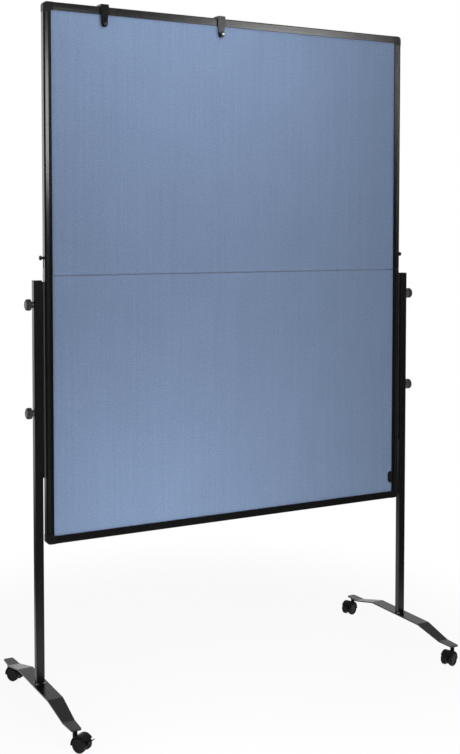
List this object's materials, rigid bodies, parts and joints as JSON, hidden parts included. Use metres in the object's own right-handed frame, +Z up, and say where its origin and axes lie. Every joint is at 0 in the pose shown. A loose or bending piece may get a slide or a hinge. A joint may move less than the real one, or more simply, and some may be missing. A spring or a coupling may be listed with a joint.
{
  "type": "mobile pinboard",
  "caption": "Upright felt pinboard with a mid fold, slim ridged frame and rounded corner caps, carried on height-clamped legs with bent feet and swivel castors.",
  "frame": {"origin": "on the floor, midway between the legs, below the front face of the frame", "axes": "+X to the right along the board, +Y from the front face to the back, +Z up"},
  "size_m": [1.3066, 0.6231, 1.9772],
  "materials": {
    "frame_bar": "satin black coating on a ridged extrusion",
    "black_plastic": "smooth moulded black",
    "leg_steel": "satin black powder coat",
    "core_board": "pressed soft fibreboard, covered on both faces",
    "felt": "needled felt, grey blue",
    "hinge_steel": "black coated steel",
    "plain_steel": "bright zinc",
    "knob_plastic": "moulded black",
    "lock_steel": "black coated steel",
    "hook_plastic": "moulded black with a light sheen",
    "castor_plastic": "moulded black",
    "wheel_plastic": "moulded black",
    "tab_plastic": "moulded black"
  },
  "bodies": {
    "lower_board": {"lower_core": "core_board", "lower_felt_front": "felt", "lower_felt_rear": "felt", "bottom_rail": "frame_bar", "lower_left_stile": "frame_bar", "lower_right_stile": "frame_bar", "bottom_left_corner": "black_plastic", "bottom_right_corner": "black_plastic", "lower_fold_edge": "black_plastic", "lower_hinge_leaves": "hinge_steel", "hinge_pins": "hinge_steel", "left_height_rail": "frame_bar", "right_height_rail": "frame_bar", "edge_tab": "tab_plastic"},
    "upper_board": {"upper_core": "core_board", "upper_felt_front": "felt", "upper_felt_rear": "felt", "top_rail": "frame_bar", "upper_left_stile": "frame_bar", "upper_right_stile": "frame_bar", "top_left_corner": "black_plastic", "top_right_corner": "black_plastic", "upper_fold_edge": "black_plastic", "upper_hinge_leaves": "hinge_steel"},
    "left_leg": {"left_leg_tube": "leg_steel", "left_leg_cap": "black_plastic", "left_foot": "leg_steel", "left_clamp_nuts": "plain_steel", "left_castor_stems": "plain_steel"},
    "left_upper_knob": {"left_upper_knob": "knob_plastic"},
    "left_lower_knob": {"left_lower_knob": "knob_plastic"},
    "left_lock": {"left_lock": "lock_steel"},
    "right_leg": {"right_leg_tube": "leg_steel", "right_leg_cap": "black_plastic", "right_foot": "leg_steel", "right_clamp_nuts": "plain_steel", "right_castor_stems": "plain_steel"},
    "right_upper_knob": {"right_upper_knob": "knob_plastic"},
    "right_lower_knob": {"right_lower_knob": "knob_plastic"},
    "right_lock": {"right_lock": "lock_steel"},
    "left_hook": {"left_hook": "hook_plastic"},
    "right_hook": {"right_hook": "hook_plastic"},
    "left_front_castor": {"left_front_castor_hood": "castor_plastic", "left_front_castor_axle": "plain_steel"},
    "left_front_castor_near_wheel": {"left_front_castor_near_wheel": "wheel_plastic"},
    "left_front_castor_far_wheel": {"left_front_castor_far_wheel": "wheel_plastic"},
    "left_front_castor_lever": {"left_front_castor_lever": "castor_plastic"},
    "left_rear_castor": {"left_rear_castor_hood": "castor_plastic", "left_rear_castor_axle": "plain_steel"},
    "left_rear_castor_near_wheel": {"left_rear_castor_near_wheel": "wheel_plastic"},
    "left_rear_castor_far_wheel": {"left_rear_castor_far_wheel": "wheel_plastic"},
    "left_rear_castor_lever": {"left_rear_castor_lever": "castor_plastic"},
    "right_front_castor": {"right_front_castor_hood": "castor_plastic", "right_front_castor_axle": "plain_steel"},
    "right_front_castor_near_wheel": {"right_front_castor_near_wheel": "wheel_plastic"},
    "right_front_castor_far_wheel": {"right_front_castor_far_wheel": "wheel_plastic"},
    "right_rear_castor": {"right_rear_castor_hood": "castor_plastic", "right_rear_castor_axle": "plain_steel"},
    "right_rear_castor_near_wheel": {"right_rear_castor_near_wheel": "wheel_plastic"},
    "right_rear_castor_far_wheel": {"right_rear_castor_far_wheel": "wheel_plastic"}
  },
  "joints": [
    {"name": "fold", "type": "hinge", "parent": "lower_board", "child": "upper_board", "pos_m": [0, 0.025, 1.22], "axis": [-1, 0, 0], "range_deg": [0, 180]},
    {"name": "left_leg_slide", "type": "slide", "parent": "lower_board", "child": "left_leg", "axis": [0, 0, -1], "range_m": [0, 0.16]},
    {"name": "left_upper_knob_turn", "type": "hinge", "parent": "left_leg", "child": "left_upper_knob", "pos_m": [-0.65, 0.011, 1.141], "axis": [-1, 0, 0], "range_deg": [0, 360]},
    {"name": "left_lower_knob_turn", "type": "hinge", "parent": "left_leg", "child": "left_lower_knob", "pos_m": [-0.65, 0.011, 0.841], "axis": [-1, 0, 0], "range_deg": [0, 360]},
    {"name": "left_lock_slide", "type": "slide", "parent": "upper_board", "child": "left_lock", "axis": [0, 0, -1], "range_m": [0, 0.025]},
    {"name": "right_leg_slide", "type": "slide", "parent": "lower_board", "child": "right_leg", "axis": [0, 0, -1], "range_m": [0, 0.16]},
    {"name": "right_upper_knob_turn", "type": "hinge", "parent": "right_leg", "child": "right_upper_knob", "pos_m": [0.65, 0.011, 1.141], "axis": [1, 0, 0], "range_deg": [0, 360]},
    {"name": "right_lower_knob_turn", "type": "hinge", "parent": "right_leg", "child": "right_lower_knob", "pos_m": [0.65, 0.011, 0.841], "axis": [1, 0, 0], "range_deg": [0, 360]},
    {"name": "right_lock_slide", "type": "slide", "parent": "upper_board", "child": "right_lock", "axis": [0, 0, -1], "range_m": [0, 0.025]},
    {"name": "left_hook_slide", "type": "slide", "parent": "upper_board", "child": "left_hook", "axis": [1, 0, 0], "range_m": [-0.13, 0.17]},
    {"name": "right_hook_slide", "type": "slide", "parent": "upper_board", "child": "right_hook", "axis": [1, 0, 0], "range_m": [-0.16, 0.6]},
    {"name": "left_front_castor_swivel", "type": "hinge", "parent": "left_leg", "child": "left_front_castor", "pos_m": [-0.62, -0.266, 0.045], "axis": [0, 0, 1], "continuous": true},
    {"name": "left_front_castor_near_wheel_roll", "type": "hinge", "parent": "left_front_castor", "child": "left_front_castor_near_wheel", "pos_m": [-0.60802, -0.28445, 0.02], "axis": [0.8387, 0.5446, 0], "continuous": true},
    {"name": "left_front_castor_far_wheel_roll", "type": "hinge", "parent": "left_front_castor", "child": "left_front_castor_far_wheel", "pos_m": [-0.60802, -0.28445, 0.02], "axis": [0.8387, 0.5446, 0], "continuous": true},
    {"name": "left_front_castor_lever_press", "type": "hinge", "parent": "left_front_castor", "child": "left_front_castor_lever", "pos_m": [-0.59727, -0.301, 0.02718], "axis": [0.8387, 0.5446, 0], "range_deg": [0, 20]},
    {"name": "left_rear_castor_swivel", "type": "hinge", "parent": "left_leg", "child": "left_rear_castor", "pos_m": [-0.62, 0.288, 0.045], "axis": [0, 0, 1], "continuous": true},
    {"name": "left_rear_castor_near_wheel_roll", "type": "hinge", "parent": "left_rear_castor", "child": "left_rear_castor_near_wheel", "pos_m": [-0.60802, 0.26955, 0.02], "axis": [0.8387, 0.5446, 0], "continuous": true},
    {"name": "left_rear_castor_far_wheel_roll", "type": "hinge", "parent": "left_rear_castor", "child": "left_rear_castor_far_wheel", "pos_m": [-0.60802, 0.26955, 0.02], "axis": [0.8387, 0.5446, 0], "continuous": true},
    {"name": "left_rear_castor_lever_press", "type": "hinge", "parent": "left_rear_castor", "child": "left_rear_castor_lever", "pos_m": [-0.59727, 0.253, 0.02718], "axis": [0.8387, 0.5446, 0], "range_deg": [0, 20]},
    {"name": "right_front_castor_swivel", "type": "hinge", "parent": "right_leg", "child": "right_front_castor", "pos_m": [0.62, -0.266, 0.045], "axis": [0, 0, 1], "continuous": true},
    {"name": "right_front_castor_near_wheel_roll", "type": "hinge", "parent": "right_front_castor", "child": "right_front_castor_near_wheel", "pos_m": [0.59975, -0.2746, 0.02], "axis": [0.3907, -0.9205, 0], "continuous": true},
    {"name": "right_front_castor_far_wheel_roll", "type": "hinge", "parent": "right_front_castor", "child": "right_front_castor_far_wheel", "pos_m": [0.59975, -0.2746, 0.02], "axis": [0.3907, -0.9205, 0], "continuous": true},
    {"name": "right_rear_castor_swivel", "type": "hinge", "parent": "right_leg", "child": "right_rear_castor", "pos_m": [0.62, 0.288, 0.045], "axis": [0, 0, 1], "continuous": true},
    {"name": "right_rear_castor_near_wheel_roll", "type": "hinge", "parent": "right_rear_castor", "child": "right_rear_castor_near_wheel", "pos_m": [0.59975, 0.2794, 0.02], "axis": [0.3907, -0.9205, 0], "continuous": true},
    {"name": "right_rear_castor_far_wheel_roll", "type": "hinge", "parent": "right_rear_castor", "child": "right_rear_castor_far_wheel", "pos_m": [0.59975, 0.2794, 0.02], "axis": [0.3907, -0.9205, 0], "continuous": true}
  ],
  "couplings": [
    {"joint": "right_leg_slide", "follows": "left_leg_slide", "ratio": 1}
  ]
}
